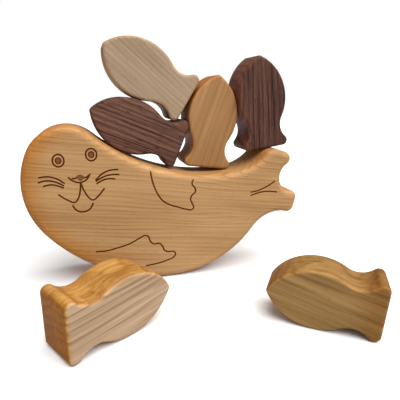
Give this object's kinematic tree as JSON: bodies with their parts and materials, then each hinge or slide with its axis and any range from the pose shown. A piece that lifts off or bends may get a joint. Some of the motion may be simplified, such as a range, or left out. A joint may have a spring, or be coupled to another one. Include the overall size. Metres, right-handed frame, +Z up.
{
  "type": "wooden balance game",
  "caption": "Wooden balance game: a thick round-bellied sea lion that rocks on its belly, with loose flat wooden fish that are stacked on its back and tail.",
  "frame": {"origin": "the point on the table that the sea lion's belly stands on, half way through the thickness of its board", "axes": "+X from the sea lion's head to its tail, +Y through the board away from the carved side, +Z up"},
  "size_m": [0.2197, 0.1532, 0.1748],
  "materials": {
    "alder": "oiled, satin",
    "walnut": "oiled, satin",
    "cherry": "oiled, satin",
    "maple": "oiled, satin",
    "beech": "oiled, satin",
    "birch": "oiled, satin"
  },
  "bodies": {
    "fish_front_right": {"fish_front_right": "birch"},
    "fish_front_left": {"fish_front_left": "beech"},
    "sea_lion": {"sea_lion": "alder"},
    "fish_walnut_lying": {"fish_walnut_lying": "walnut"},
    "fish_cherry_upright": {"fish_cherry_upright": "cherry"},
    "fish_maple_top": {"fish_maple_top": "maple"},
    "fish_walnut_upright": {"fish_walnut_upright": "walnut"}
  },
  "joints": [
    {"name": "rock", "type": "hinge", "parent": "fish_front_right", "child": "sea_lion", "pos_m": [0, 0, 0.116], "axis": [0, 1, 0], "range_deg": [-10, 10]},
    {"name": "lift_front_left", "type": "slide", "parent": "fish_front_right", "child": "fish_front_left", "axis": [0, 0, 1], "range_m": [0, 0.04]},
    {"name": "draw_walnut_lying", "type": "slide", "parent": "sea_lion", "child": "fish_walnut_lying", "axis": [0, -1, 0], "range_m": [0, 0.06]},
    {"name": "draw_cherry_upright", "type": "slide", "parent": "sea_lion", "child": "fish_cherry_upright", "axis": [0, -1, 0], "range_m": [0, 0.06]},
    {"name": "lift_maple_top", "type": "slide", "parent": "sea_lion", "child": "fish_maple_top", "axis": [0, 0, 1], "range_m": [0, 0.08]},
    {"name": "lift_walnut_upright", "type": "slide", "parent": "sea_lion", "child": "fish_walnut_upright", "axis": [0, 0, 1], "range_m": [0, 0.08]}
  ]
}
